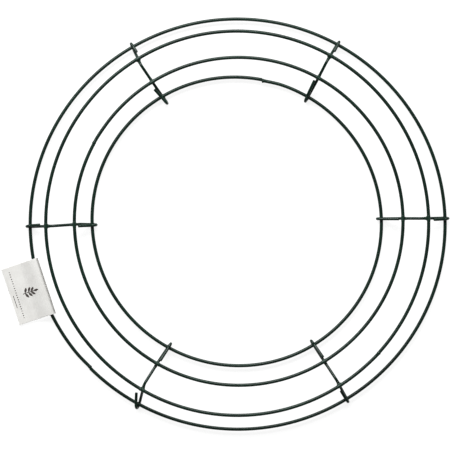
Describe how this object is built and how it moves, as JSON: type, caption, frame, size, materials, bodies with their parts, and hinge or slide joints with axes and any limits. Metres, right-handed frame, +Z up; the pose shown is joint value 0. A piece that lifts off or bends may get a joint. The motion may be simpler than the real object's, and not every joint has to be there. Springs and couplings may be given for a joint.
{
  "type": "wire wreath frame",
  "caption": "Flat round wire frame of concentric rings held in a shallow dome by hooked cross wires, for tying greenery into a wreath, with a folded card tag on its outer ring.",
  "frame": {"origin": "under the middle of the whole object's outline, on the surface that the frame lies on", "axes": "+Z up out of the frame's front, along the rings' common axis; +X to the frame's right and +Y to its top, seen from the front; the tag is at -X"},
  "size_m": [0.3284, 0.303, 0.0172],
  "materials": {
    "green_wire": "dark green powder coat, satin, slightly uneven",
    "coated_weld": "dark green powder coat over a rough spot weld",
    "tag_card": "uncoated pale grey card, matt"
  },
  "bodies": {
    "frame": {"outer_ring": "green_wire", "outer_middle_ring": "green_wire", "inner_middle_ring": "green_wire", "inner_ring": "green_wire", "cross_wire_right": "green_wire", "cross_wire_upper_right": "green_wire", "cross_wire_upper_left": "green_wire", "cross_wire_left": "green_wire", "cross_wire_lower_left": "green_wire", "cross_wire_lower_right": "green_wire", "weld_outer_right": "coated_weld", "weld_inner_right": "coated_weld", "weld_outer_upper_right": "coated_weld", "weld_inner_upper_right": "coated_weld", "weld_outer_upper_left": "coated_weld", "weld_inner_upper_left": "coated_weld", "weld_outer_left": "coated_weld", "weld_inner_left": "coated_weld", "weld_outer_lower_left": "coated_weld", "weld_inner_lower_left": "coated_weld", "weld_outer_lower_right": "coated_weld", "weld_inner_lower_right": "coated_weld"},
    "tag": {"hang_tag": "tag_card"}
  },
  "joints": [
    {"name": "tag_swing", "type": "hinge", "parent": "frame", "child": "tag", "pos_m": [-0.13509, -0.04614, 0.00366], "axis": [-0.3137, 0.9495, 0], "range_deg": [0, 120]}
  ]
}
